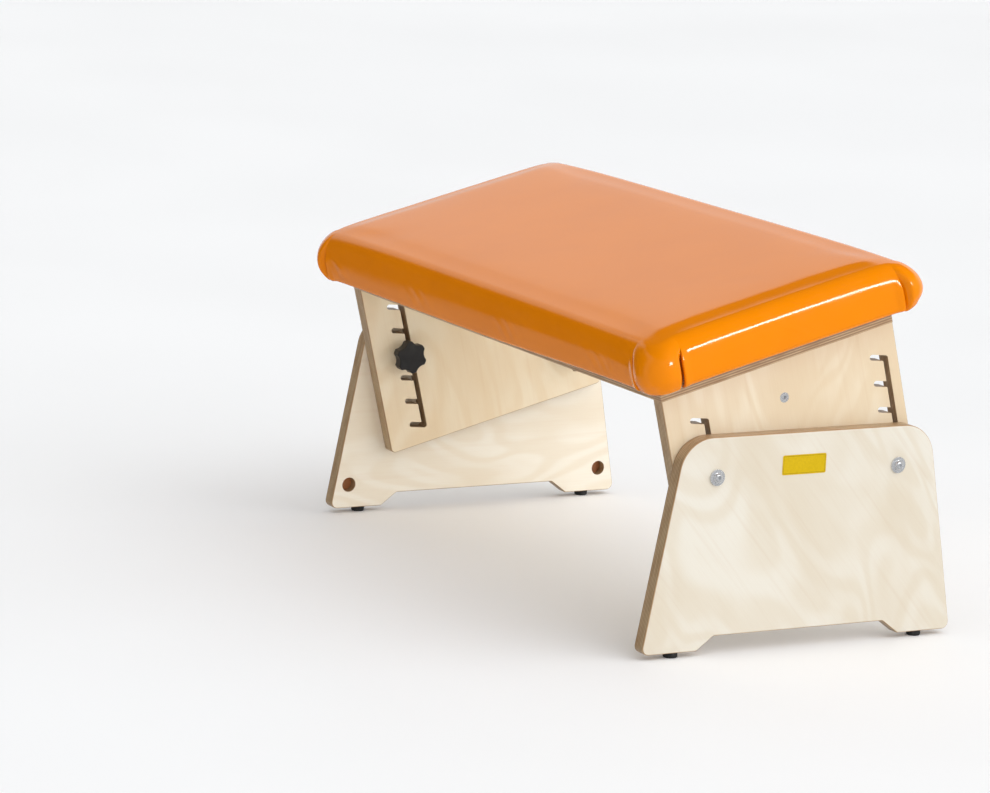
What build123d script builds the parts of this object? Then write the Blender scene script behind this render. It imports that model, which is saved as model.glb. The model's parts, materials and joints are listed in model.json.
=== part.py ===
"""Padded bench with two notched end frames, so that its seat can be raised, lowered or tilted.

X runs along the bench, from the left end to the right end. Y runs from the low, front edge of the
tilted seat to its high, rear edge. Z is up from the floor. Everything is in millimetres.

Pieces of the seat are drawn in the seat's own frame: its Y runs up the slope of the seat, and its Z
stands square on the seat board, from zero at the board's underside.
"""

import os
from math import atan2, cos, degrees, radians, sin, sqrt, tan

from build123d import *

# Plywood
PLY = 18.0
EDGE_ROUND = 1.5

# Foot panels, the trapezoids that stand on the floor
FOOT_BOTTOM = 400.0
FOOT_TOP = 314.0
FOOT_HEIGHT = 236.0
FOOT_TOP_ROUND = 40.0
FOOT_BOTTOM_ROUND = 8.0
FOOT_OUTER_X = 384.0
ARCH_HEIGHT = 15.5
ARCH_BOTTOM = 261.0
ARCH_TOP = 219.0
ARCH_ROUND = 5.0
SOCKET_RADIUS = 9.0
SOCKET_DEPTH = 12.0
SOCKET_Y = 176.0
SOCKET_Z = 29.0

# Glides under the foot panels
GLIDE_RADIUS = 8.0
GLIDE_HEIGHT = 6.0
GLIDE_ROUND = 1.5
GLIDE_Y = 158.0
GLIDE_RECESS_RADIUS = 4.0
GLIDE_RECESS_DEPTH = 3.2
GLIDE_SCREW_RADIUS = 1.75
GLIDE_SCREW_LENGTH = 22.0
GLIDE_SCREW_HEAD = 3.4
GLIDE_SCREW_HEAD_HEIGHT = 2.0
PAN_ROUND_SHARE = 0.6

# Clamping bolts, washers and knobs
BOLT_RADIUS = 3.0
BOLT_LENGTH = 55.0
BOLT_HOLE_RADIUS = 3.3
BOLT_Y = 116.65
BOLT_HEIGHT = 191.8
BUTTON_HEAD = 5.25
BUTTON_HEIGHT = 3.3
BUTTON_ROUND = 2.6
BOLT_POINT = 0.75
HEX_KEY = 4.0
HEX_DEPTH = 2.0
WASHER_RADIUS = 9.0
WASHER_THICKNESS = 1.6
PENNY_RADIUS = 12.5
PENNY_THICKNESS = 1.5
KNOB_RADIUS = 20.0
KNOB_LOBES = 6
KNOB_VALLEY = 16.5
KNOB_VALLEY_ROUND = 12.0
KNOB_TIP_ROUND = 2.6
KNOB_EDGE_ROUND = 1.8
KNOB_UNDER_ROUND = 0.9
KNOB_HEIGHT = 20.0
KNOB_LOBE_HEIGHT = 13.0
KNOB_BOSS_RADIUS = 9.5
KNOB_BORE_DEPTH = 17.0
KNOB_TURNS = {
    ("left", "front"): 11.0,
    ("left", "rear"): -20.0,
    ("right", "front"): 25.0,
    ("right", "rear"): -5.0,
}
INSERT_RADIUS = 4.5
INSERT_LENGTH = 13.0

# Ladder panels, which carry the seat on the clamping bolts
LADDER_WIDTH = 300.0
LADDER_HEIGHT = 212.0
LADDER_ROUND = 6.0
SLOT_WIDTH = 6.5
SLOT_Y = (-100.0, 133.7)
NOTCHES = 6
NOTCH_PITCH = 30.5
NOTCH_REACH = 16.5
NOTCH_RISE = 19.0
TOP_NOTCH_Z = -31.5
FRONT_NOTCH = 3
REAR_NOTCH = 5

# Seat board, gussets and the fasteners between them
BOARD_WIDTH = 300.0
GUSSET_LEG = 80.0
GUSSET_NOSE = 6.0
GUSSET_BOLT_Z = -41.2
GUSSET_BOLT_LENGTH = 50.0
BARREL_RADIUS = 5.0
BARREL_LENGTH = 14.0
BARREL_INSET = 28.0
BARREL_SLOT = 1.2
GUSSET_SCREW_INSETS = (20.0, 55.0)
GUSSET_SCREW_LENGTH = 35.0
DOWEL_RADIUS = 4.0
DOWEL_LENGTH = 30.0
DOWEL_Y = 125.0
BOARD_SCREW_Y = 60.0
BOARD_SCREW_LENGTH = 50.0
WOOD_SCREW_RADIUS = 2.2
WOOD_SCREW_HEAD = 4.3
WOOD_SCREW_HEAD_HEIGHT = 3.0
BOLT_COUNTERSINK = 5.6

# Cushion
CUSHION_LENGTH = 804.0
CUSHION_WIDTH = 354.0
CUSHION_HEIGHT = 58.0
CUSHION_CORNER = 22.0
CUSHION_TOP_ROUND = 20.0
CUSHION_BOTTOM_ROUND = 8.0
VINYL = 1.2
VINYL_TURN_IN = 40.0
BASE_LENGTH = 780.0
BASE_WIDTH = 330.0
BASE_THICKNESS = 12.0
BASE_CORNER = 12.0
STAPLE_CROWN = 10.0
STAPLE_WIRE = 0.7
STAPLE_BAND = 1.2
STAPLE_LEG = 8.0
STAPLE_INSET = 7.0
STAPLE_PITCH = 50.0
CUSHION_SCREW_LENGTH = 28.0
CUSHION_SCREW_Y = 110.0
CUSHION_SCREW_X = 250.0

# Blank label on the right foot panel
LABEL_WIDTH = 56.0
LABEL_HEIGHT = 22.0
LABEL_THICKNESS = 0.25
LABEL_ROUND = 2.0
LABEL_Y = -6.0
LABEL_Z = 200.0

# Clearances
PANEL_GAP = 0.3
WASHER_GAP = 0.1
SCREW_GAP = 0.1

# How closely the meshed surface that centres the bench follows the true one
MESH_TOLERANCE = 0.05

# How near two lengths or points are when they count as the same
SAME_PLACE = 0.01

# Places that follow from the dimensions above
FOOT_INNER_X = FOOT_OUTER_X - PLY
FOOT_MIDDLE_X = FOOT_OUTER_X - PLY / 2
LADDER_OUTER_X = FOOT_INNER_X - PANEL_GAP
LADDER_INNER_X = LADDER_OUTER_X - PLY
LADDER_MIDDLE_X = LADDER_OUTER_X - PLY / 2
BOARD_LENGTH = 2 * LADDER_OUTER_X
BARREL_X = LADDER_INNER_X - BARREL_INSET
PENNY_X = LADDER_INNER_X - WASHER_GAP - PENNY_THICKNESS
KNOB_X = PENNY_X - WASHER_GAP
BOLT_Z = GLIDE_HEIGHT + BOLT_HEIGHT
BASE_Z = PLY + VINYL
NOTCH_DROP = NOTCH_REACH * tan(radians(NOTCH_RISE))
ENDS = {"right": 1, "left": -1}
EDGES = {"front": -1, "rear": 1}
BOTH = (-1, 1)


def seat_location():
    """The seat's place in the standing frame, from the notches that the clamping bolts sit in.

    Both bolts are at one height. The rear one is at the closed end of its notch, and the front one
    is as far along its own notch as the distance between the two bolts puts it.
    """
    front_end = Vector(SLOT_Y[0] - NOTCH_REACH, TOP_NOTCH_Z - (FRONT_NOTCH - 1) * NOTCH_PITCH)
    rear = Vector(SLOT_Y[1] - NOTCH_REACH, TOP_NOTCH_Z - (REAR_NOTCH - 1) * NOTCH_PITCH)
    notch = Vector(cos(radians(NOTCH_RISE)), -sin(radians(NOTCH_RISE)))
    across = rear - front_end
    along = across.dot(notch)
    depth = along - sqrt(along**2 - across.length**2 + (2 * BOLT_Y) ** 2)
    front = front_end + notch * depth
    tilt = -atan2(rear.Y - front.Y, rear.X - front.X)
    y = BOLT_Y - rear.X * cos(tilt) + rear.Y * sin(tilt)
    z = BOLT_Z - rear.X * sin(tilt) - rear.Y * cos(tilt)
    return Pos(0, y, z) * Rot(X=degrees(tilt))


def outward(x, side):
    """A place x from the middle of the bench, with local Z pointing out of that end."""
    return Pos(side * x, 0, 0) * Rot(Y=90 * side)


def inward(x, side):
    """The same place, with local Z pointing back into the bench."""
    return Pos(side * x, 0, 0) * Rot(Y=-90 * side)


def upright_panel(face, outer_x, side):
    """A panel across the bench with this outline and softened edges, outer_x from the middle."""
    start = outer_x - PLY if side > 0 else -outer_x
    panel = extrude(Plane.YZ * face, PLY)
    panel = fillet(panel.edges() - panel.edges().filter_by(Axis.X), EDGE_ROUND)
    return Pos(start, 0, 0) * panel


def rod(radius, length):
    """A round rod up from the origin."""
    return Pos(0, 0, length / 2) * Cylinder(radius, length)


def ring(radius, bore, length):
    """A washer or sleeve up from the origin."""
    return rod(radius, length) - rod(bore, length)


def hex_socket():
    """The space that a hexagon key goes into, down from the origin."""
    return extrude(RegularPolygon(HEX_KEY / 2, 6, major_radius=False), -HEX_DEPTH)


def countersunk(radius, head, length):
    """A flat-headed screw with the top of its head at the origin, pointing down."""
    cone = Pos(0, 0, -(head - radius) / 2) * Cone(radius, head, head - radius)
    return cone + Pos(0, 0, -length) * rod(radius, length)


def pan_head(radius, head, head_height, length):
    """A screw whose head stands on the origin and whose point goes down."""
    cap = rod(head, head_height)
    cap = fillet(cap.edges().sort_by(Axis.Z)[-1], PAN_ROUND_SHARE * head_height)
    return cap + Pos(0, 0, -length) * rod(radius, length)


def button_bolt():
    """A clamping bolt with the underside of its head at the origin, pointing down."""
    head = rod(BUTTON_HEAD, BUTTON_HEIGHT)
    head = fillet(head.edges().sort_by(Axis.Z)[-1], BUTTON_ROUND)
    shank = Pos(0, 0, -BOLT_LENGTH) * rod(BOLT_RADIUS, BOLT_LENGTH)
    shank = chamfer(shank.edges().sort_by(Axis.Z)[0], BOLT_POINT)
    return head + shank - Pos(0, 0, BUTTON_HEIGHT) * hex_socket()


# Foot frames


def foot_outline():
    """A trapezoid with round shoulders, and a shallow arch that leaves two feet."""
    arch, shoulder = (ARCH_TOP / 2, ARCH_HEIGHT), (FOOT_TOP / 2, FOOT_HEIGHT)
    inner, outer = (ARCH_BOTTOM / 2, 0), (FOOT_BOTTOM / 2, 0)
    half = [arch, inner, outer, shoulder]
    other = [(-y, z) for y, z in reversed(half)]
    face = make_face(Polyline(*half, *other, close=True))
    for corner, radius in ((shoulder, FOOT_TOP_ROUND), (outer, FOOT_BOTTOM_ROUND), (arch, ARCH_ROUND)):
        pair = [v for v in face.vertices() if (Vector(abs(v.X), v.Y) - Vector(corner)).length < SAME_PLACE]
        face = fillet(pair, radius)
    return face


def foot_panel(side):
    panel = Pos(0, 0, GLIDE_HEIGHT) * upright_panel(foot_outline(), FOOT_OUTER_X, side)
    for edge in BOTH:
        bolt_hole = bolt_place(edge) * outward(FOOT_INNER_X, side)
        panel -= bolt_hole * rod(BOLT_HOLE_RADIUS, PLY)
        socket = Pos(0, edge * SOCKET_Y, GLIDE_HEIGHT + SOCKET_Z) * outward(FOOT_INNER_X, side)
        panel -= socket * rod(SOCKET_RADIUS, SOCKET_DEPTH)
        panel -= glide_place(side, edge) * glide_screw(SCREW_GAP)
    return panel


def glide_place(side, edge):
    return Pos(side * FOOT_MIDDLE_X, edge * GLIDE_Y, 0)


def glide():
    """A round foot with a sunk seat for its screw."""
    pad = rod(GLIDE_RADIUS, GLIDE_HEIGHT)
    pad = fillet(pad.edges().sort_by(Axis.Z)[0], GLIDE_ROUND)
    return pad - rod(GLIDE_RECESS_RADIUS, GLIDE_RECESS_DEPTH) - rod(GLIDE_SCREW_RADIUS, GLIDE_HEIGHT)


def glide_screw(gap=0.0):
    """The screw that holds a glide, with its head in the glide's seat."""
    radius, length = GLIDE_SCREW_RADIUS + gap, GLIDE_SCREW_LENGTH + gap
    screw = pan_head(radius, GLIDE_SCREW_HEAD, GLIDE_SCREW_HEAD_HEIGHT, length)
    return Pos(0, 0, GLIDE_RECESS_DEPTH) * Rot(X=180) * screw


def bolt_place(edge):
    return Pos(0, edge * BOLT_Y, BOLT_Z)


def clamp_bolt(side, edge):
    return bolt_place(edge) * outward(FOOT_OUTER_X + WASHER_THICKNESS, side) * button_bolt()


def outer_washer(side, edge):
    washer = ring(WASHER_RADIUS, BOLT_HOLE_RADIUS, WASHER_THICKNESS)
    return bolt_place(edge) * outward(FOOT_OUTER_X, side) * washer


def penny_washer(side, edge):
    washer = ring(PENNY_RADIUS, BOLT_HOLE_RADIUS, PENNY_THICKNESS)
    return bolt_place(edge) * outward(PENNY_X, side) * washer


def star_outline():
    """A circle with a wide round valley between each pair of lobes."""
    face = Circle(KNOB_RADIUS)
    for k in range(KNOB_LOBES):
        valley = Pos(KNOB_VALLEY + KNOB_VALLEY_ROUND, 0) * Circle(KNOB_VALLEY_ROUND)
        face -= Rot(Z=(k + 0.5) * 360 / KNOB_LOBES) * valley
    return fillet(face.vertices(), KNOB_TIP_ROUND)


def knob(side, edge, turn):
    """A star knob with a boss towards the panel and a blind bore for its threaded insert.

    It stands at the angle that tightening left it at.
    """
    boss_height = KNOB_HEIGHT - KNOB_LOBE_HEIGHT
    star = extrude(star_outline(), KNOB_LOBE_HEIGHT)
    star = fillet(star.edges().group_by(Axis.Z)[-1], KNOB_EDGE_ROUND)
    star = fillet(star.edges().group_by(Axis.Z)[0], KNOB_UNDER_ROUND)
    body = Pos(0, 0, boss_height) * star + rod(KNOB_BOSS_RADIUS, boss_height)
    body -= rod(INSERT_RADIUS, INSERT_LENGTH) + rod(BOLT_HOLE_RADIUS, KNOB_BORE_DEPTH)
    return bolt_place(edge) * inward(KNOB_X, side) * Rot(Z=turn) * body


def knob_insert(side, edge):
    sleeve = ring(INSERT_RADIUS, BOLT_HOLE_RADIUS, INSERT_LENGTH)
    return bolt_place(edge) * inward(KNOB_X, side) * sleeve


def blank_label():
    face = RectangleRounded(LABEL_WIDTH, LABEL_HEIGHT, LABEL_ROUND)
    sticker = extrude(Plane.YZ * face, LABEL_THICKNESS)
    return Pos(FOOT_OUTER_X, LABEL_Y, GLIDE_HEIGHT + LABEL_Z) * sticker


# Seat structure, in the seat's frame


def milled_path(start, end):
    """The opening that a round cutter leaves on its way from start to end."""
    run = end - start
    turn = degrees(atan2(run.Y, run.X))
    return Pos((start + end) * 0.5) * SlotCenterToCenter(run.length, SLOT_WIDTH, rotation=turn)


def ladder_opening(slot_y):
    """One long slot with its row of notches, each rising to its closed end."""
    mouths = [Vector(slot_y, TOP_NOTCH_Z - NOTCH_DROP - k * NOTCH_PITCH) for k in range(NOTCHES)]
    opening = milled_path(mouths[-1], mouths[0])
    for mouth in mouths:
        opening += milled_path(mouth + Vector(-NOTCH_REACH, NOTCH_DROP), mouth)
    return opening


def ladder_panel(side):
    """A panel under one end of the board, square at the top where it meets the board."""
    half = LADDER_WIDTH / 2
    corners = [(-half, 0), (-half, -LADDER_HEIGHT), (half, -LADDER_HEIGHT), (half, 0)]
    face = make_face(Polyline(*corners, close=True))
    face = fillet(face.vertices().group_by(Axis.Y)[0], LADDER_ROUND)
    panel = extrude(Plane.YZ * face, PLY)
    rims = panel.edges() - panel.edges().filter_by(Axis.X)
    panel = fillet([rim for rim in rims if rim.center().Z < -EDGE_ROUND], EDGE_ROUND)
    start = LADDER_INNER_X if side > 0 else -LADDER_OUTER_X
    for slot_y in SLOT_Y:
        panel -= extrude(Plane.YZ * ladder_opening(slot_y), PLY)
    panel = Pos(start, 0, 0) * panel
    return panel - board_dowels(SCREW_GAP) - board_screws(SCREW_GAP) - gusset_bolts(SCREW_GAP)


def gusset(side):
    """A triangular stiffener between the board and one ladder panel."""
    under_board = [(0, 0), (-GUSSET_LEG, 0), (-GUSSET_LEG, -GUSSET_NOSE)]
    along_panel = [(-GUSSET_NOSE, -GUSSET_LEG), (0, -GUSSET_LEG)]
    face = make_face(Polyline(*under_board, *along_panel, close=True))
    block = extrude(Plane.XZ * face, PLY / 2, both=True)
    slope_length = (GUSSET_LEG - GUSSET_NOSE) * sqrt(2)
    slope = [e for e in block.edges() if abs(e.length - slope_length) < SAME_PLACE]
    block = fillet(slope, EDGE_ROUND)
    block = Pos(LADDER_INNER_X, 0, 0) * block
    if side < 0:
        block = mirror(block, Plane.YZ)
    block -= Pos(side * BARREL_X, 0, GUSSET_BOLT_Z) * Rot(X=90) * Cylinder(BARREL_RADIUS + SCREW_GAP, PLY)
    return block - gusset_bolts(SCREW_GAP) - gusset_screws(SCREW_GAP)


def gusset_bolts(gap=0.0):
    """Two flush bolts through the ladder panels into the gussets, wider by gap as a cutter."""
    bolt = countersunk(BOLT_RADIUS + gap, BOLT_COUNTERSINK + gap, GUSSET_BOLT_LENGTH + gap)
    if not gap:
        bolt -= hex_socket()
    return Compound(children=[Pos(0, 0, GUSSET_BOLT_Z) * outward(LADDER_OUTER_X, s) * bolt for s in BOTH])


def gusset_barrel_nuts():
    """Cross dowels in the gussets, each tapped across for its bolt and slotted at one end."""
    nut = Cylinder(BARREL_RADIUS, BARREL_LENGTH)
    nut -= Rot(Y=90) * Cylinder(BOLT_HOLE_RADIUS, 2 * BARREL_RADIUS)
    nut -= Pos(0, 0, BARREL_LENGTH / 2) * Box(2 * BARREL_RADIUS, BARREL_SLOT, BARREL_SLOT)
    return Compound(children=[Pos(s * BARREL_X, 0, GUSSET_BOLT_Z) * Rot(X=90) * nut for s in BOTH])


def wood_screws(places, length, gap):
    """Countersunk screws down from the top of the board, wider by gap as a cutter."""
    screw = countersunk(WOOD_SCREW_RADIUS + gap, WOOD_SCREW_HEAD + gap, length + gap)
    return Compound(children=[Pos(x, y, PLY) * screw for x, y in places])


def gusset_screws(gap=0.0):
    places = [(s * (LADDER_INNER_X - inset), 0) for s in BOTH for inset in GUSSET_SCREW_INSETS]
    return wood_screws(places, GUSSET_SCREW_LENGTH, gap)


def board_screws(gap=0.0):
    places = [(s * LADDER_MIDDLE_X, edge * BOARD_SCREW_Y) for s in BOTH for edge in BOTH]
    return wood_screws(places, BOARD_SCREW_LENGTH, gap)


def board_dowels(gap=0.0):
    dowel = Cylinder(DOWEL_RADIUS + gap, DOWEL_LENGTH + 2 * gap)
    places = [(s * LADDER_MIDDLE_X, edge * DOWEL_Y) for s in BOTH for edge in BOTH]
    return Compound(children=[Pos(x, y, 0) * dowel for x, y in places])


def cushion_screws(gap=0.0):
    """Pan-headed screws up through the board into the cushion's base."""
    radius, length = WOOD_SCREW_RADIUS + gap, CUSHION_SCREW_LENGTH + gap
    screw = pan_head(radius, WOOD_SCREW_HEAD, WOOD_SCREW_HEAD_HEIGHT, length)
    places = [(k * CUSHION_SCREW_X, edge * CUSHION_SCREW_Y) for k in (-1, 0, 1) for edge in BOTH]
    return Compound(children=[Pos(x, y, 0) * Rot(X=180) * screw for x, y in places])


def seat_board():
    board = Pos(0, 0, PLY / 2) * Box(BOARD_LENGTH, BOARD_WIDTH, PLY)
    board = fillet(board.faces().sort_by(Axis.Z)[-1].edges(), EDGE_ROUND)
    for fasteners in (board_dowels, board_screws, gusset_screws, cushion_screws):
        board -= fasteners(SCREW_GAP)
    return board


# Cushion, in the seat's frame


def cushion_block(inset):
    """The cushion's outer form, drawn in by inset on every side."""
    face = RectangleRounded(CUSHION_LENGTH - 2 * inset, CUSHION_WIDTH - 2 * inset, CUSHION_CORNER - inset)
    block = Pos(0, 0, PLY + inset) * extrude(face, CUSHION_HEIGHT - 2 * inset)
    block = fillet(block.edges().group_by(Axis.Z)[-1], CUSHION_TOP_ROUND - inset)
    return fillet(block.edges().group_by(Axis.Z)[0], CUSHION_BOTTOM_ROUND - inset)


def cushion_cover():
    """A vinyl skin over the whole block, turned in under the base and open in the middle."""
    length, width = CUSHION_LENGTH - 2 * VINYL_TURN_IN, CUSHION_WIDTH - 2 * VINYL_TURN_IN
    mouth = extrude(Pos(0, 0, PLY) * RectangleRounded(length, width, BASE_CORNER), 2 * VINYL)
    return cushion_block(0) - cushion_block(VINYL) - mouth - cushion_staples()


def cushion_foam():
    return cushion_block(VINYL) - base_block()


def base_block():
    face = RectangleRounded(BASE_LENGTH, BASE_WIDTH, BASE_CORNER)
    return extrude(Pos(0, 0, BASE_Z) * face, BASE_THICKNESS)


def cushion_base():
    return base_block() - cushion_staples() - cushion_screws(SCREW_GAP)


def cushion_staples():
    """Staples through the turned-in vinyl, all the way round and clear of the board."""
    crown = Pos(0, 0, -STAPLE_WIRE / 2) * Box(STAPLE_CROWN, STAPLE_BAND, STAPLE_WIRE)
    leg = Pos(0, 0, STAPLE_LEG / 2) * Box(STAPLE_WIRE, STAPLE_BAND, STAPLE_LEG)
    reach = (STAPLE_CROWN - STAPLE_WIRE) / 2
    staple = crown + Pos(reach, 0, 0) * leg + Pos(-reach, 0, 0) * leg
    half_x, half_y = BASE_LENGTH / 2 - STAPLE_INSET, BASE_WIDTH / 2 - STAPLE_INSET
    row_x = int(half_x / STAPLE_PITCH)
    row_y = int(half_y / STAPLE_PITCH)
    places = [Pos(k * STAPLE_PITCH, s * half_y) for k in range(-row_x, row_x + 1) for s in BOTH]
    ends = [Pos(s * half_x, k * STAPLE_PITCH) for k in range(-row_y + 1, row_y) for s in BOTH]
    places += [place * Rot(Z=90) for place in ends]
    return Compound(children=[Pos(0, 0, PLY) * place * staple for place in places])


def seat_parts():
    parts = {
        "cushion_cover": cushion_cover(),
        "cushion_foam": cushion_foam(),
        "cushion_base": cushion_base(),
        "cushion_staples": cushion_staples(),
        "cushion_screws": cushion_screws(),
        "seat_board": seat_board(),
        "board_dowels": board_dowels(),
        "board_screws": board_screws(),
        "gusset_bolts": gusset_bolts(),
        "gusset_barrel_nuts": gusset_barrel_nuts(),
        "gusset_screws": gusset_screws(),
    }
    for end, side in ENDS.items():
        parts[f"ladder_panel_{end}"] = ladder_panel(side)
        parts[f"gusset_{end}"] = gusset(side)
    place = seat_location()
    return {name: place * part for name, part in parts.items()}


def foot_parts():
    parts = {"blank_label": blank_label()}
    for end, side in ENDS.items():
        parts[f"foot_panel_{end}"] = foot_panel(side)
        screws = [glide_place(side, edge) * glide_screw() for edge in BOTH]
        parts[f"glide_screws_{end}"] = Compound(children=screws)
        for name, edge in EDGES.items():
            parts[f"glide_{end}_{name}"] = glide_place(side, edge) * glide()
            parts[f"clamp_bolt_{end}_{name}"] = clamp_bolt(side, edge)
            parts[f"outer_washer_{end}_{name}"] = outer_washer(side, edge)
            parts[f"penny_washer_{end}_{name}"] = penny_washer(side, edge)
            parts[f"knob_{end}_{name}"] = knob(side, edge, KNOB_TURNS[end, name])
            parts[f"knob_insert_{end}_{name}"] = knob_insert(side, edge)
    return parts


def main():
    parts = seat_parts() | foot_parts()
    surface = [point.Y for part in parts.values() for point in part.tessellate(MESH_TOLERANCE)[0]]
    shift = -(min(surface) + max(surface)) / 2
    centred = Pos(0, shift, 0)
    os.makedirs("parts", exist_ok=True)
    for name, part in parts.items():
        export_step(centred * part, f"parts/{name}.step")


main()
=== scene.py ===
import json
import math

import bpy
import numpy as np
from mathutils import Matrix, Vector
from mathutils.kdtree import KDTree


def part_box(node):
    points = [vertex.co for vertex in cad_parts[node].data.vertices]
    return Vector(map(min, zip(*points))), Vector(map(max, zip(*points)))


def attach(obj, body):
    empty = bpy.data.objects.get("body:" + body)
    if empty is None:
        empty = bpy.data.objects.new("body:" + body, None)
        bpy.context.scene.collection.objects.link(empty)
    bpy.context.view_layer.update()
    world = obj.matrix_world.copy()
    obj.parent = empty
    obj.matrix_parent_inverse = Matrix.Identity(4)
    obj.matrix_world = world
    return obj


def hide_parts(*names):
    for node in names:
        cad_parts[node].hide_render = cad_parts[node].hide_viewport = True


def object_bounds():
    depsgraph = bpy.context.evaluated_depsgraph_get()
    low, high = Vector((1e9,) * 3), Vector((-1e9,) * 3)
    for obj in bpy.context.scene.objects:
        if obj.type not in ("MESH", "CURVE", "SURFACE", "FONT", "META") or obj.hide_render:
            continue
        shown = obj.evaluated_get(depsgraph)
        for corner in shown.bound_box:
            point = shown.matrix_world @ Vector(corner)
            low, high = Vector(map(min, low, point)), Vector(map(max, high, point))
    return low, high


# The padded bench as it looks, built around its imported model. Lengths are in metres, angles in degrees.

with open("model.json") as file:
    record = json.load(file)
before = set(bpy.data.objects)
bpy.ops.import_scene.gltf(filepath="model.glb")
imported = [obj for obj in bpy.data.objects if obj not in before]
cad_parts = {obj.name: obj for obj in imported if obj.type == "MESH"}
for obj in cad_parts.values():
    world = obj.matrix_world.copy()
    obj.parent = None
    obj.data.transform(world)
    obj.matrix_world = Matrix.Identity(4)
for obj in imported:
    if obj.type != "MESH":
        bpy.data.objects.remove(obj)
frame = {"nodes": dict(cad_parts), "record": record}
cad_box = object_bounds()

MM = 0.001

# Plywood
PLY = 18 * MM
PLIES = 13

# Camera: where it stands, seen from the bench, and what it aims at, from the middle of the bench
AZIMUTH = 60.93
ELEVATION = 10.97
ROLL = 2.71
DISTANCE = 5.039
LENS = 157.4
AIM = Vector((-0.0768, -0.1267, -0.0164))

# Sky: its level all round, in front, in the fuller light from the right, and as shiny surfaces see it
SKY_LEVEL = 0.84
SKY_COLOUR = (0.985, 0.993, 1.0, 1.0)
FRONT_LEVEL = 0.5
FILL_LEVEL = 1.38
FILL_FROM = Vector((0.74, 0.52, 0.42))
DARK_LEVEL = 0.04
RIGHT_LEVEL = 0.28
NEAR_FLOOR_LEVEL = 0.38

# Strip light, and the floor
STRIP_FROM = Vector((0.895, 0.365, 0.23))
STRIP_AWAY = 3.0
STRIP_SIZE = (0.9, 0.34)
STRIP_POWER = 34.0
FLOOR_SIZE = 80.0

# Cushion, in the seat's own frame. FLANK_TURN is how far its bowed sides lean at their top and bottom.
CORNER = 28 * MM
TOP_ROUND = 19 * MM
BOTTOM_ROUND = 8 * MM
FLANK_TURN = 12.0
CROWN = 2.5 * MM
CORNER_DROP = 14 * MM
FRONT_HANG = 5 * MM
PULL_IN = 3.0 * MM
TURN_IN = 40 * MM
TURN_CORNER = 12 * MM
VINYL = 1.5 * MM

# Pleats, two at each corner of the cushion, with a band between them. The corners are numbered from the
# left front one, by the right front and the right rear, to the left rear.
PLEAT_AT = (22 * MM, 38 * MM, 24 * MM, 24 * MM)
PLEAT_TOP = 48 * MM
PLEAT_FULL = 27 * MM
PLEAT_DEPTH = 10 * MM
BAND_RISE = 10 * MM
BAND_BULGE = (9.5 * MM, 6.5 * MM, 9.5 * MM, 7 * MM)
BAND_TOP = 60 * MM
BAND_TUCK = 3 * MM
BAND_HANG = 2.5 * MM
RIDGE = 1.4 * MM
LIP = 2.2 * MM
LIP_ROUND = 2.0 * MM
OVERLAP = 2.5 * MM

# Gathers between the corners
PUCKER_STEP = 3.2 * MM
PUCKER_CLUSTER = 34 * MM
PUCKER_HEIGHT = 20 * MM
PUCKER_DEPTH = 0.45 * MM

# Mesh of the cushion
CORNER_ZONE = 58 * MM
FINE_STEP = 1.9 * MM
COARSE_STEP = 4.5 * MM
SKIN_STEPS = (7 * MM, 14 * MM)
FOLD_STEPS = tuple(x * MM for x in (-3.6, -2.4, -1.4, -0.7, -0.3, 0.0, 0.3, 0.7, 1.4, 2.4, 3.6))

# Cloth. REACH is how far round a point the simulated skin's movement is averaged.
CLOTH_FRAMES = 18
CLOTH_CAP = 2 * MM
REACH = 30 * MM
CLOTH_SETTINGS = {
    "quality": 6,
    "mass": 0.4,
    "tension_stiffness": 25,
    "compression_stiffness": 25,
    "shear_stiffness": 12,
    "bending_stiffness": 4,
    "use_pressure": True,
    "uniform_pressure_force": 4.0,
}


# Seat frame


def seat_turn():
    """The seat's tilt as a matrix, from the broad face of its board."""
    faces = frame["nodes"]["seat_board"].data.polygons
    normal = max(faces, key=lambda face: face.area).normal
    if normal.z < 0:
        normal = -normal
    return Matrix.Rotation(math.atan2(-normal.y, normal.z), 3, "X")


def turned_box(node, turn):
    """Lowest and highest corner of a node along the turned axes."""
    points = np.array([v.co for v in frame["nodes"][node].data.vertices]) @ np.array(turn)
    return Vector(points.min(0)), Vector(points.max(0))


TURN = seat_turn()
CUSHION_LOW, CUSHION_HIGH = turned_box("cushion_cover", TURN)
HALF_X, HALF_Y, CUSHION_TOP = (CUSHION_HIGH - CUSHION_LOW) / 2
CUSHION_TOP *= 2


# Cushion surface


def smooth(x):
    """An even step from 0 to 1."""
    x = np.clip(x, 0.0, 1.0)
    return x * x * (3 - 2 * x)


def bell(x, width):
    """A bump that is 1 at 0 and fades over width."""
    return np.exp(-((x / width) ** 2))


def side_length(side):
    """From the middle of one corner to the middle of the next, along the outline."""
    straight = 2 * ((HALF_X, HALF_Y)[side % 2] - CORNER)
    return straight + CORNER * math.pi / 2


def stations(side, fine, coarse, folds):
    """Places of the mesh's columns along a side, close together where the pleats are."""
    length = side_length(side)
    count = math.ceil(CORNER_ZONE / fine / 2)
    ends = []
    for corner in (side, (side + 1) % 4):
        fold = PLEAT_AT[corner] + np.array(FOLD_STEPS)
        before = np.linspace(0, fold[0], count, endpoint=False)
        after = np.linspace(fold[-1], CORNER_ZONE, count, endpoint=False)[1:]
        plain = np.arange(0, CORNER_ZONE, fine)
        ends.append(np.concatenate([before, fold, after]) if folds else plain)
    steps = math.ceil((length - 2 * CORNER_ZONE) / coarse)
    middle = np.linspace(CORNER_ZONE, length - CORNER_ZONE, steps + 1)
    return np.concatenate([ends[0], middle, length - ends[1][::-1]])


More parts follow.
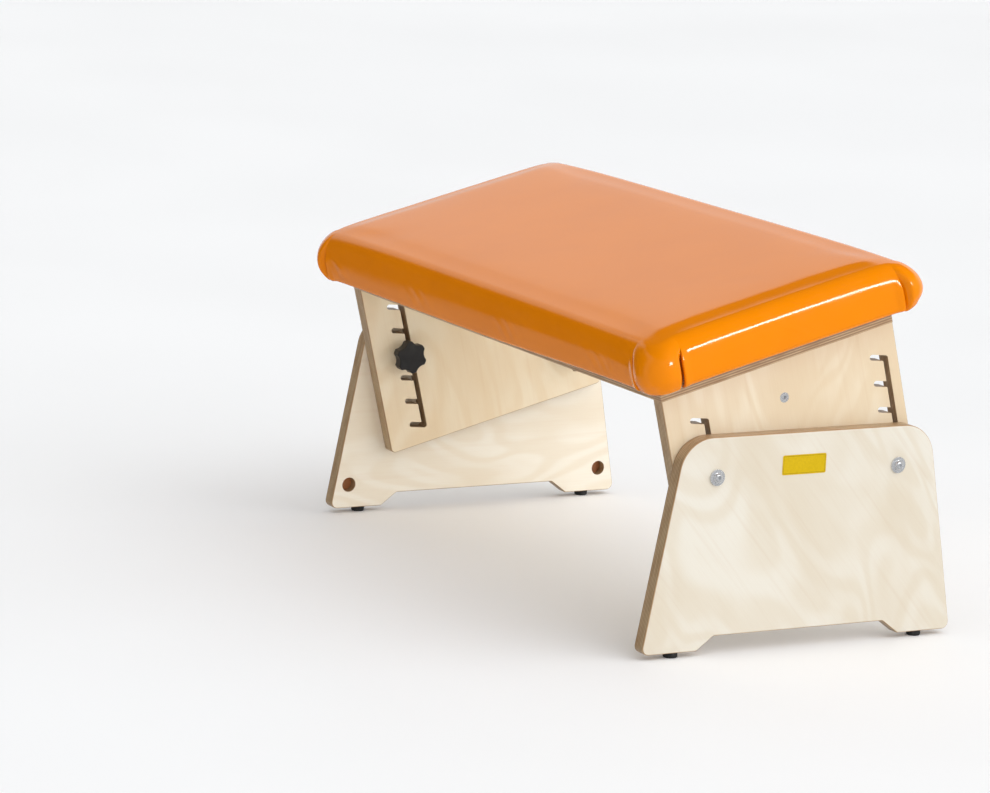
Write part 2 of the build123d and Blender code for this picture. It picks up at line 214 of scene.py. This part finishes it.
def outline(side, place, inset, radius):
    """Points and outward directions on a ring of the cushion, drawn in by inset."""
    half = np.stack([HALF_X - inset - radius, HALF_Y - inset - radius], axis=-1)
    start = np.array([(-1, -1), (1, -1), (1, 1), (-1, 1)])[side]
    end = np.array([(1, -1), (1, 1), (-1, 1), (-1, -1)])[side]
    arc = CORNER * math.pi / 4
    length = np.array([side_length(s) for s in range(4)])[side]
    share = np.clip((place - arc) / (length - 2 * arc), 0, 1)[..., None]
    bend = np.minimum(place - arc, 0) + np.maximum(place - length + arc, 0)
    angle = (side - 1) * math.pi / 2 + bend / CORNER
    out = np.stack([np.cos(angle), np.sin(angle)], axis=-1)
    middle = half * (start * (1 - share) + end * share)
    return middle + out * np.asarray(radius)[..., None], out


def ring_rows():
    """(inset, height, corner radius) of each ring from the top of the cushion to the cut edge below."""
    turn = math.radians(FLANK_TURN)
    top = CUSHION_TOP - CROWN
    flank = (top - (TOP_ROUND + BOTTOM_ROUND) * (1 - math.sin(turn))) / (2 * math.sin(turn))
    upright = math.pi / 2
    arcs = ((TOP_ROUND, upright, turn, 10), (flank, turn, -turn, 12), (BOTTOM_ROUND, -turn, -upright, 6))
    profile = [np.array([0.0, top])]
    for radius, start, end, steps in arcs:
        centre = profile[-1] - radius * np.array([math.cos(start), math.sin(start)])
        for angle in np.linspace(start, end, steps + 1)[1:]:
            profile.append(centre + radius * np.array([math.cos(angle), math.sin(angle)]))
    widest = max(out for out, _ in profile)
    rows = [(widest - out, height, CORNER - widest + out) for out, height in profile]
    edge = rows[-1][0]
    for share in np.linspace(0, 1, 9)[1:]:
        inset = edge + share * (TURN_IN - edge)
        rows.append((inset, 0.0, CORNER - edge + share * (TURN_CORNER - CORNER + edge)))
    rows.append((TURN_IN, VINYL, TURN_CORNER))
    return np.array(rows)


def top_grid(ring, across, along):
    """Fills the inside of the top ring, blending its four sides. The ring starts at one corner."""
    nx, ny = len(across) - 1, len(along) - 1
    front, right = ring[: nx + 1], ring[nx : nx + ny + 1]
    back = ring[nx + ny : 2 * nx + ny + 1][::-1]
    left = np.vstack([ring[2 * nx + ny :], ring[:1]])[::-1]
    u = (across / across[-1])[:, None, None]
    v = (along / along[-1])[None, :, None]
    sides = (1 - v) * front[:, None] + v * back[:, None] + (1 - u) * left[None] + u * right[None]
    corners = (1 - u) * (1 - v) * front[0] + u * (1 - v) * front[-1]
    corners = corners + (1 - u) * v * back[0] + u * v * back[-1]
    return sides - corners


def crowned(points):
    """Raises the middle of the top and draws the sides in between the corners."""
    x, y = points[:, 0] / HALF_X, points[:, 1] / HALF_Y
    high = np.clip((points[:, 2] - BOTTOM_ROUND) / (CUSHION_TOP - CROWN - BOTTOM_ROUND), 0, 1)
    out = points.copy()
    out[:, 2] += high * (CROWN * (1 - x**8) * (1 - y**4) - CORNER_DROP * (x * y) ** 8)
    edge = smooth((HALF_Y * (-1 - y) + 7 * MM) / (3 * MM))
    out[:, 2] -= FRONT_HANG * edge * (1 - high) ** 2 * smooth((0.85 - x) / 0.9)
    out[:, 0] *= 1 - PULL_IN / HALF_X * (1 - y**2) * np.abs(x) ** 9
    out[:, 1] *= 1 - PULL_IN / HALF_Y * (1 - x**6) * np.abs(y) ** 9
    return out


def puckers(side, place, height):
    """Short slanting gathers low on the sides, in a few loose clusters."""
    slanted = place + (side * 0.7 + 0.6) * height
    fold = np.sin(slanted / PUCKER_STEP + 1.3 * np.sin(place / (PUCKER_STEP * 5)))
    cluster = np.clip(np.sin(place / PUCKER_CLUSTER + side * 2.1 + 0.4), 0, 1) ** 3
    return PUCKER_DEPTH * fold * cluster * bell(height - PUCKER_HEIGHT, PUCKER_HEIGHT / 2)


def pleated(side, place, rows):
    """Ring points with the corners folded: each side laps over a band that bulges round the corner."""
    length = np.array([side_length(s) for s in range(4)])[side]
    from_corner = np.minimum(place, length - place)
    toward = np.where(place < length / 2, -1.0, 1.0)
    corner = (side + (place > length / 2)) % 4
    pleat_at, bulge = np.array(PLEAT_AT)[corner], np.array(BAND_BULGE)[corner]
    inset, height, radius = (rows[:, k][:, None] for k in range(3))
    below = smooth((PLEAT_TOP - height) / (PLEAT_TOP - PLEAT_FULL))
    kept = below * (1 - smooth((inset - BOTTOM_ROUND) / (TURN_IN - BOTTOM_ROUND)) * (height <= VINYL))
    gap = from_corner - pleat_at
    lap, band = gap >= 0, gap < 0
    out_by = kept * lap * (LIP * bell(gap, 5 * MM) - LIP_ROUND * bell(gap, 0.4 * MM))
    out_by = out_by - kept * band * PLEAT_DEPTH * (1 - smooth(-gap / BAND_RISE))
    rounding = 1 - (np.minimum(from_corner, pleat_at) / pleat_at) ** 4
    swell = np.sin(math.pi * np.clip((BAND_TOP - height) / BAND_TOP, 0, 1)) ** 0.6
    out_by = out_by + band * rounding * bulge * swell
    out_by = out_by + puckers(side, place, height) * (1 - smooth((inset - BOTTOM_ROUND) / BOTTOM_ROUND))
    out_by = out_by + band * kept * RIDGE * bell(gap + 7 * MM, 3 * MM)
    low = 1 - smooth(height / (BOTTOM_ROUND * 2))
    out_by = out_by - band * rounding * BAND_TUCK * low * kept
    along = kept * OVERLAP * (lap * bell(gap, 2.5 * MM) - band * bell(gap + 0.3 * MM, 2.5 * MM))
    points, out = outline(side, place + toward * along, inset, np.broadcast_to(radius, along.shape))
    points = points + out * out_by[..., None]
    height = height - band * rounding * BAND_HANG * low * kept
    return np.dstack([points, height])


def cushion_shape(fine, coarse, folds):
    """Points, faces and held points of the cushion's skin, in the seat's frame."""
    across, along = (stations(side, fine, coarse, folds) for side in (0, 1))
    places = [across[:-1], along[:-1], across[:-1], along[:-1]]
    side = np.concatenate([np.full(len(p), k) for k, p in enumerate(places)])
    place = np.concatenate(places)
    rows = ring_rows()
    if folds:
        rings = pleated(side, place, rows)
    else:
        flat, _ = outline(side, place, rows[:, 0][:, None], np.repeat(rows[:, 2][:, None], len(place), 1))
        rings = np.dstack([flat, np.repeat(rows[:, 1][:, None], len(place), 1)])
    grid = top_grid(rings[0], across, along)
    nx, ny, count = len(across) - 1, len(along) - 1, len(place)
    number = np.full((nx + 1, ny + 1), -1)
    edge = [(i, 0) for i in range(nx)] + [(nx, j) for j in range(ny)]
    edge += [(i, ny) for i in range(nx, 0, -1)] + [(0, j) for j in range(ny, 0, -1)]
    for k, (i, j) in enumerate(edge):
        number[i, j] = k
    inner = number < 0
    number[inner] = np.arange(inner.sum()) + count * len(rows)
    points = crowned(np.vstack([rings.reshape(-1, 3), grid[inner]]))
    faces = []
    for i in range(nx):
        for j in range(ny):
            faces.append((number[i, j], number[i + 1, j], number[i + 1, j + 1], number[i, j + 1]))
    for r in range(len(rows) - 1):
        for k in range(count):
            n = (k + 1) % count
            faces.append((r * count + k, (r + 1) * count + k, (r + 1) * count + n, r * count + n))
    last = (len(rows) - 1) * count
    faces.append(tuple(last + k for k in reversed(range(count))))
    held = [int(k) for k in np.flatnonzero(np.repeat(rows[:, 1] <= BOTTOM_ROUND / 2, count))]
    return points, [tuple(int(v) for v in face) for face in faces], held


def settled_by():
    """How far cloth simulation moves a coarse skin that the foam presses out, and from where."""
    points, faces, held = cushion_shape(*SKIN_STEPS, folds=False)
    mesh = bpy.data.meshes.new("skin")
    mesh.from_pydata(points.tolist(), [], faces[:-1])
    skin = bpy.data.objects.new("skin", mesh)
    scene = bpy.context.scene
    scene.collection.objects.link(skin)
    skin.vertex_groups.new(name="held").add(held, 1.0, "REPLACE")
    cloth = skin.modifiers.new("Cloth", "CLOTH")
    for name, value in CLOTH_SETTINGS.items():
        setattr(cloth.settings, name, value)
    cloth.settings.effector_weights.gravity = 0
    cloth.settings.vertex_group_mass = "held"
    cloth.collision_settings.use_collision = False
    cloth.point_cache.frame_end = CLOTH_FRAMES
    for step in range(1, CLOTH_FRAMES + 1):
        scene.frame_set(step)
    after = skin.evaluated_get(bpy.context.evaluated_depsgraph_get()).to_mesh()
    moved = np.array([v.co for v in after.vertices]) - points
    scene.frame_set(1)
    bpy.data.objects.remove(skin)
    bpy.data.meshes.remove(mesh)
    far = np.linalg.norm(moved, axis=1, keepdims=True)
    return points, moved * np.minimum(1.0, CLOTH_CAP / np.maximum(far, 1e-9))


def settle(points):
    """Moves the points of the cushion as the nearest points of the simulated skin moved."""
    start, moved = settled_by()
    tree = KDTree(len(start))
    for k, point in enumerate(start):
        tree.insert(point, k)
    tree.balance()
    out = points.copy()
    for k, point in enumerate(points):
        near = tree.find_range(point, REACH)
        index = [n for _, n, _ in near]
        distance = np.array([d for _, _, d in near])
        weights = (1 - (distance / REACH) ** 2) ** 3
        out[k] += weights @ moved[index] / weights.sum()
    return out


def make_cushion():
    """The cushion in place on the seat, with its foam pressing its skin out."""
    points, faces, _ = cushion_shape(FINE_STEP, COARSE_STEP, folds=True)
    points = settle(points)
    middle = (CUSHION_LOW + CUSHION_HIGH) / 2
    points = points + np.array([middle.x, middle.y, CUSHION_LOW.z])
    points = points @ np.array(TURN).T
    mesh = bpy.data.meshes.new("cushion")
    mesh.from_pydata(points.tolist(), [], faces)
    mesh.shade_smooth()
    cushion = bpy.data.objects.new("cushion", mesh)
    bpy.context.scene.collection.objects.link(cushion)
    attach(cushion, "seat")
    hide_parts("cushion_cover", "cushion_foam")
    return cushion


# Materials


class Nodes:
    """Short chains of nodes in one node tree."""

    def __init__(self, tree):
        self.tree = tree

    def feed(self, socket, value):
        if isinstance(value, bpy.types.NodeSocket):
            self.tree.links.new(value, socket)
        else:
            socket.default_value = value

    def node(self, kind, inputs, **settings):
        node = self.tree.nodes.new(kind)
        for key, value in settings.items():
            setattr(node, key, value)
        for socket, value in inputs.items():
            self.feed(node.inputs[socket], value)
        return node

    def place(self, turn=0.0, scale=(1, 1, 1), shift=(0, 0, 0), lean=0.0):
        """Places on the piece itself, turned about X by the tilt and the grain's lean, then scaled."""
        source = self.node("ShaderNodeTexCoord", {}).outputs["Object"]
        if turn or lean:
            source = self.node("ShaderNodeMapping", {0: source, 2: (lean - turn, 0, 0)}).outputs[0]
        return self.node("ShaderNodeMapping", {0: source, 1: shift, 3: scale}).outputs[0]

    def facing(self, turn, axis):
        """How squarely the surface faces along one of the piece's own axes, from 0 to 1."""
        normal = self.node("ShaderNodeTexCoord", {}).outputs["Normal"]
        if turn:
            inputs = {0: normal, 2: (-turn, 0, 0)}
            normal = self.node("ShaderNodeMapping", inputs, vector_type="VECTOR").outputs[0]
        return self.math("ABSOLUTE", self.split(normal)[axis])

    def split(self, vector):
        return self.node("ShaderNodeSeparateXYZ", {0: vector}).outputs

    def math(self, operation, a, b=0.0):
        return self.node("ShaderNodeMath", {0: a, 1: b}, operation=operation).outputs[0]

    def fade(self, value, start, end, low=0.0, high=1.0):
        inputs = {0: value, 1: start, 2: end, 3: low, 4: high}
        return self.node("ShaderNodeMapRange", inputs, interpolation_type="SMOOTHSTEP").outputs[0]

    def noise(self, vector, scale, detail=2.0, distortion=0.0):
        inputs = {"Vector": vector, "Scale": scale, "Detail": detail, "Distortion": distortion}
        return self.node("ShaderNodeTexNoise", inputs).outputs[0]

    def mix(self, share, a, b):
        node = self.node("ShaderNodeMix", {}, data_type="RGBA")
        for socket, value in ((node.inputs[0], share), (node.inputs[6], a), (node.inputs[7], b)):
            self.feed(socket, value)
        return node.outputs[2]


class Shader(Nodes):
    """A material with one Principled shader, whose sockets are fed by chains of nodes."""

    def __init__(self, name, **sockets):
        self.material = bpy.data.materials.new(name)
        self.material.use_nodes = True
        super().__init__(self.material.node_tree)
        self.surface = self.tree.nodes["Principled BSDF"]
        for socket, value in sockets.items():
            self.feed(self.surface.inputs[socket.replace("_", " ")], value)

    def colour(self, value):
        self.feed(self.surface.inputs["Base Color"], value)

    def rough(self, value):
        self.feed(self.surface.inputs["Roughness"], value)

    def bump(self, height, depth, under=None):
        """A raised surface: height runs from 0 to 1 over depth metres."""
        inputs = {"Height": height, "Strength": 1.0, "Distance": depth}
        if under is not None:
            inputs["Normal"] = under
        normal = self.node("ShaderNodeBump", inputs).outputs[0]
        self.feed(self.surface.inputs["Normal"], normal)
        return normal


def rgb(red, green, blue):
    """A colour as linear light, from the 0 to 255 of a screen."""
    shares = [x / 255 for x in (red, green, blue)]
    return (*(x / 12.92 if x <= 0.04 else ((x + 0.055) / 1.055) ** 2.4 for x in shares), 1.0)


def vinyl():
    """Glossy coated fabric with a faint grain and slow waves."""
    shader = Shader("orange_vinyl", IOR=1.4)
    place = shader.place()
    tone = shader.noise(place, 9.0, 3.0)
    deep, warm = (0.82, 0.226, 0.0, 1.0), (0.85, 0.238, 0.0, 1.0)
    shader.colour(shader.mix(shader.fade(tone, 0.3, 0.7), deep, warm))
    smear = shader.noise(place, 35.0, 4.0)
    shader.rough(shader.fade(smear, 0.3, 0.75, 0.07, 0.12))
    waves = shader.bump(shader.noise(place, 18.0, 1.0), 0.18 * MM)
    grain = shader.node("ShaderNodeTexVoronoi", {"Vector": place, "Scale": 1100.0}, feature="SMOOTH_F1")
    shader.bump(grain.outputs[0], 0.008 * MM, waves)
    return shader.material


def plywood(node, thick, grain, turn=0.0, tone=0.0, seed=0.0, lean=0.0, painted_light_shift=0.0):
    """Birch plywood: thick and grain are the axes across the sheet and along its face grain."""
    angle = math.atan2(TURN[2][1], TURN[1][1]) if turn else 0.0
    low, _ = turned_box(node, TURN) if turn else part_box(node)
    shader = Shader(f"plywood_{node}", Coat_Weight=0.18, Coat_Roughness=0.3, IOR=1.45)
    shift = (seed * 0.37, seed * 0.53, seed * 0.71)
    across = shader.split(shader.place(angle))[thick]
    depth = shader.math("DIVIDE", shader.math("SUBTRACT", across, low[thick]), PLY)
    facing = shader.facing(angle, thick)

    # Veneer: broad wavy bands, clouds, fine fibres and a few specks
    stretch = [1.0, 1.0, 1.0]
    stretch[grain] = 0.42
    stretch[thick] = 0.15
    wide = shader.place(angle, stretch, shift, lean)
    drift = shader.noise(wide, 5.5, 2.0, 1.4)
    bands = shader.math("SINE", shader.math("MULTIPLY", drift, 70.0))
    bands = shader.fade(bands, -1.0, 1.0)
    cloudy = shader.noise(wide, 11.0, 3.0, 0.6)
    stretch[grain] = 0.03
    fine = shader.place(angle, stretch, shift, lean)
    fibre = shader.noise(fine, 900.0, 3.0)
    flame = shader.noise(fine, 130.0, 2.0)

    # Painted light and shade: the brightness shift raises the whole colour of a sheet that stands in
    # shade and lowers the colour of a sheet in full light
    pale = rgb(233 + painted_light_shift, 227 + painted_light_shift - tone, 214 + painted_light_shift - 2.6 * tone)
    warm = rgb(223 + painted_light_shift, 211 + painted_light_shift - 1.2 * tone, 190 + painted_light_shift - 2.8 * tone)
    honey = rgb(206 + painted_light_shift, 178 + painted_light_shift - 1.2 * tone, 146 + painted_light_shift - 2.8 * tone)
    face = shader.mix(shader.fade(cloudy, 0.35, 0.75), pale, warm)
    face = shader.mix(shader.math("MULTIPLY", bands, 0.55), face, warm)
    face = shader.mix(shader.fade(flame, 0.54, 0.76, 0.0, 0.12), face, honey)
    face = shader.mix(shader.fade(fibre, 0.45, 0.75, 0.0, 0.07), face, honey)
    specks = shader.noise(shader.place(angle, stretch, (seed, seed, seed)), 60.0, 1.0)
    face = shader.mix(shader.fade(specks, 0.79, 0.84, 0.0, 0.55), face, rgb(168, 118, 74))

    # Plies on the edges, dark and light by turns, with glue lines between
    layer = shader.math("MULTIPLY", depth, float(PLIES))
    parity = shader.math("PINGPONG", shader.math("SUBTRACT", layer, 0.5), 1.0)
    stretch = [260.0 if axis == thick else 40.0 for axis in range(3)]
    edge_grain = shader.noise(shader.place(angle, stretch), 1.0, 3.0)
    dark, light = rgb(158, 129, 95), rgb(204, 178, 140)
    edge = shader.mix(shader.fade(parity, 0.35, 0.65), light, dark)
    edge = shader.mix(shader.fade(edge_grain, 0.35, 0.75, 0.0, 0.6), edge, rgb(150, 112, 72))
    glue = shader.math("PINGPONG", layer, 0.5)
    edge = shader.mix(shader.fade(glue, 0.0, 0.09, 0.4, 0.0), edge, rgb(88, 58, 34))

    # Veneer on the two faces, end grain at the bottom of blind holes, scorched brown on the rounded edges
    outer = shader.math("PINGPONG", depth, 0.5)
    skin = shader.fade(outer, 0.03, 0.05, 1.0, 0.0)
    flat = shader.fade(facing, 0.86, 0.97)
    tilted = (shader.fade(facing, 0.25, 0.5), shader.fade(facing, 0.8, 0.95, 1.0, 0.0))
    arris = shader.math("MULTIPLY", *tilted)
    bored = shader.mix(shader.fade(edge_grain, 0.3, 0.7), rgb(196, 132, 84), rgb(166, 104, 62))
    flat_colour = shader.mix(skin, bored, face)
    colour = shader.mix(flat, edge, flat_colour)
    colour = shader.mix(shader.math("MULTIPLY", arris, 0.6), colour, rgb(160, 116, 74))
    shader.colour(colour)
    shader.rough(shader.fade(fibre, 0.3, 0.8, 0.36, 0.5))
    relief = shader.math("MULTIPLY", parity, shader.fade(facing, 0.3, 0.6, 1.0, 0.0))
    plies = shader.bump(relief, 0.02 * MM)
    shader.bump(shader.math("MULTIPLY", fibre, flat), 0.02 * MM, plies)
    return shader.material


def zinc():
    """Bright plated steel with fine turning marks."""
    shader = Shader("zinc_steel", Metallic=0.75)
    place = shader.place()
    tone = shader.noise(place, 350.0, 3.0)
    dull, bright = (0.74, 0.75, 0.77, 1.0), (0.90, 0.91, 0.93, 1.0)
    shader.colour(shader.mix(shader.fade(tone, 0.3, 0.7), dull, bright))
    marks = shader.noise(shader.place(scale=(1.0, 8.0, 8.0)), 700.0, 2.0)
    shader.rough(shader.fade(marks, 0.3, 0.7, 0.16, 0.34))
    shader.bump(marks, 0.01 * MM)
    return shader.material


def brass():
    """Turned brass with a little tarnish."""
    shader = Shader("brass", Metallic=1.0)
    tone = shader.noise(shader.place(), 300.0, 3.0)
    dull, bright = (0.62, 0.42, 0.15, 1.0), (0.80, 0.60, 0.26, 1.0)
    shader.colour(shader.mix(shader.fade(tone, 0.3, 0.7), dull, bright))
    shader.rough(shader.fade(tone, 0.3, 0.7, 0.22, 0.4))
    shader.bump(tone, 0.01 * MM)
    return shader.material


def moulded_plastic():
    """Satin nylon with a fine spark-eroded texture, a little paler where hands rub it."""
    shader = Shader("black_plastic", IOR=1.5)
    place = shader.place()
    worn = shader.noise(place, 45.0, 3.0)
    black, grey = (0.014, 0.013, 0.014, 1.0), (0.030, 0.028, 0.029, 1.0)
    shader.colour(shader.mix(shader.fade(worn, 0.35, 0.75), black, grey))
    spark = shader.noise(place, 2600.0, 2.0)
    shader.rough(shader.fade(worn, 0.3, 0.7, 0.36, 0.48))
    shader.bump(spark, 0.03 * MM)
    return shader.material


def rubber():
    """Black rubber, dusty in patches."""
    shader = Shader("black_rubber", IOR=1.5)
    place = shader.place()
    dust = shader.noise(place, 180.0, 4.0)
    black, dusty = (0.012, 0.012, 0.012, 1.0), (0.05, 0.047, 0.043, 1.0)
    shader.colour(shader.mix(shader.fade(dust, 0.5, 0.8), black, dusty))
    shader.rough(shader.fade(dust, 0.3, 0.8, 0.6, 0.85))
    shader.bump(dust, 0.05 * MM)
    return shader.material


def sticker():
    """Blank yellow vinyl with a fine border."""
    low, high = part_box("blank_label")
    middle, half = (low + high) / 2, (high - low) / 2
    shader = Shader("yellow_label", IOR=1.25)
    place = shader.split(shader.place())
    across = shader.math("ABSOLUTE", shader.math("SUBTRACT", place[1], middle.y))
    up = shader.math("ABSOLUTE", shader.math("SUBTRACT", place[2], middle.z))
    inset = [shader.math("SUBTRACT", half.y, across), shader.math("SUBTRACT", half.z, up)]
    line = shader.math("ABSOLUTE", shader.math("SUBTRACT", shader.math("MINIMUM", *inset), 1.5 * MM))
    tone = shader.noise(shader.place(), 400.0, 3.0)
    yellow = shader.mix(shader.fade(tone, 0.3, 0.7), rgb(198, 164, 0), rgb(206, 172, 2))
    printed = shader.fade(line, 0.15 * MM, 0.3 * MM, 0.75, 0.0)
    shader.colour(shader.mix(printed, yellow, rgb(120, 92, 10)))
    shader.rough(shader.fade(tone, 0.3, 0.7, 0.3, 0.42))
    shader.bump(tone, 0.01 * MM)
    return shader.material


def beech():
    """Plain beech with its grain along the dowel."""
    shader = Shader("beech_dowel")
    grain = shader.noise(shader.place(scale=(1.0, 1.0, 0.08)), 500.0, 3.0)
    shader.colour(shader.mix(shader.fade(grain, 0.3, 0.7), rgb(214, 170, 122), rgb(186, 138, 92)))
    shader.rough(shader.fade(grain, 0.3, 0.7, 0.5, 0.65))
    shader.bump(grain, 0.03 * MM)
    return shader.material


def dress(node, material):
    """Gives a CAD node this material in every slot that it has."""
    mesh = frame["nodes"][node].data
    if not mesh.materials:
        mesh.materials.append(material)
    for slot in range(len(mesh.materials)):
        mesh.materials[slot] = material


def dress_cad_nodes():
    """Plywood sheets by their own axes, and one finish for each kind of fitting."""
    x, y, z = 0, 1, 2
    # The brightness shift of each sheet is painted light and shade: painted light on the shaded left foot
    # and left ladder, painted shade on the right foot and right ladder, which are lit from the right
    sheets = {
        "foot_panel_right": dict(thick=x, grain=z, tone=0, seed=1.3, lean=-0.7, painted_light_shift=-10),
        "foot_panel_left": dict(thick=x, grain=y, tone=2, seed=2.9, painted_light_shift=17),
        "ladder_panel_right": dict(thick=x, grain=z, turn=1, tone=8, seed=4.1, painted_light_shift=-2),
        "ladder_panel_left": dict(thick=x, grain=z, turn=1, tone=10, seed=5.7, painted_light_shift=12),
        "gusset_right": dict(thick=y, grain=z, turn=1, tone=6, seed=6.2),
        "gusset_left": dict(thick=y, grain=z, turn=1, tone=6, seed=7.4),
        "seat_board": dict(thick=z, grain=x, turn=1, tone=5, seed=8.8),
        "cushion_base": dict(thick=z, grain=x, turn=1, tone=5, seed=9.6),
    }
    for node, how in sheets.items():
        dress(node, plywood(node, **how))
    finishes = {
        "zinc_steel": zinc(),
        "brass": brass(),
        "black_plastic": moulded_plastic(),
        "black_rubber": rubber(),
        "yellow_label": sticker(),
        "beech_dowel": beech(),
    }
    for part in frame["record"]["subparts"]:
        if part["material_slot"] in finishes:
            dress(part["node"], finishes[part["material_slot"]])


# Stage


def make_camera():
    """A long lens, level but for a slight roll, aimed near the middle of the bench."""
    azimuth, elevation, roll = (math.radians(x) for x in (AZIMUTH, ELEVATION, ROLL))
    flat = math.cos(elevation)
    back = Vector((math.sin(azimuth) * flat, -math.cos(azimuth) * flat, math.sin(elevation)))
    right = Vector((math.cos(azimuth), math.sin(azimuth), 0))
    up = back.cross(right)
    turned_right = right * math.cos(roll) + up * math.sin(roll)
    turned_up = up * math.cos(roll) - right * math.sin(roll)
    data = bpy.data.cameras.new("camera")
    data.lens = LENS
    data.clip_end = FLOOR_SIZE
    camera = bpy.data.objects.new("camera", data)
    bpy.context.scene.collection.objects.link(camera)
    place = (cad_box[0] + cad_box[1]) / 2 + AIM + back * DISTANCE
    turn = Matrix((turned_right, turned_up, back)).transposed()
    camera.matrix_world = Matrix.Translation(place) @ turn.to_4x4()
    bpy.context.scene.camera = camera


def make_floor():
    """A plain pale floor that runs out of sight."""
    half = FLOOR_SIZE / 2
    corners = [(-half, -half, 0), (half, -half, 0), (half, half, 0), (-half, half, 0)]
    mesh = bpy.data.meshes.new("floor")
    mesh.from_pydata(corners, [], [(0, 1, 2, 3)])
    floor = bpy.data.objects.new("floor", mesh)
    bpy.context.scene.collection.objects.link(floor)
    shader = Shader("floor", IOR=1.4)
    tone = shader.noise(shader.place(), 1.5, 3.0)
    shader.colour(shader.mix(tone, (0.945, 0.945, 0.948, 1.0), (0.955, 0.955, 0.958, 1.0)))
    shader.rough(shader.fade(tone, 0.3, 0.7, 0.55, 0.7))
    mesh.materials.append(shader.material)
    floor.visible_glossy = False


def make_sky():
    """Light from all round, fuller from the right and dark low down in front on the left.

    Below the horizon it stands in for the floor, which shiny surfaces do not see. The backdrop is even.
    """
    world = bpy.data.worlds.new("world")
    bpy.context.scene.world = world
    world.use_nodes = True
    sky = Nodes(world.node_tree)
    rays = sky.node("ShaderNodeLightPath", {}).outputs
    direction = sky.node("ShaderNodeTexCoord", {}).outputs["Generated"]
    x, y, z = sky.split(direction)

    both = {0: direction, 1: FILL_FROM.normalized()}
    facing = sky.node("ShaderNodeVectorMath", both, operation="DOT_PRODUCT").outputs["Value"]
    around = sky.fade(y, -0.9, -0.3, FRONT_LEVEL, SKY_LEVEL)
    fill = sky.math("ADD", sky.fade(facing, 0.4, 1.0, 0.0, FILL_LEVEL), around)

    shine = sky.fade(x, -0.3, 0.3, SKY_LEVEL, RIGHT_LEVEL)
    high = sky.math("ADD", z, sky.math("MULTIPLY", y, 0.2))
    shine = sky.fade(high, 0.55, 0.63, shine, DARK_LEVEL)
    level = sky.fade(rays["Is Glossy Ray"], 0.0, 1.0, fill, shine)

    front = sky.fade(y, -0.36, -0.08, 1.0, 0.0)
    left = sky.fade(x, -0.5, 0.1, 1.0, 0.0)
    low = sky.fade(z, 0.5, 0.8, 1.0, 0.0)
    dark = sky.math("MULTIPLY", sky.math("MULTIPLY", front, left), low)
    level = sky.fade(dark, 0.0, 1.0, level, DARK_LEVEL)
    near = sky.math("MULTIPLY", sky.fade(z, -0.36, -0.33, 1.0, 0.0), left)
    level = sky.fade(near, 0.0, 1.0, level, NEAR_FLOOR_LEVEL)
    level = sky.fade(rays["Is Camera Ray"], 0.0, 1.0, level, SKY_LEVEL)

    light = sky.tree.nodes["Background"]
    light.inputs["Color"].default_value = SKY_COLOUR
    sky.feed(light.inputs["Strength"], level)


def make_strip():
    """A long soft box over the right end, which draws the bright line on the cushion's edge."""
    edge = Vector((CUSHION_HIGH.x, (cad_box[0].y + cad_box[1].y) / 2, cad_box[1].z))
    lamp = bpy.data.lights.new("strip", "AREA")
    lamp.shape = "RECTANGLE"
    lamp.size, lamp.size_y = STRIP_SIZE
    lamp.energy = STRIP_POWER
    strip = bpy.data.objects.new("strip", lamp)
    away = STRIP_FROM.normalized()
    across = Vector((0, 1, 0)).cross(away).normalized()
    turn = Matrix((away.cross(across), -across, away)).transposed()
    strip.matrix_world = Matrix.Translation(edge + away * STRIP_AWAY) @ turn.to_4x4()
    strip.visible_camera = False
    strip.visible_diffuse = False
    bpy.context.scene.collection.objects.link(strip)


make_camera()
make_floor()
make_sky()
make_strip()
bpy.context.scene.view_settings.view_transform = "Standard"
cushion = make_cushion()
cushion.data.materials.append(vinyl())
dress_cad_nodes()
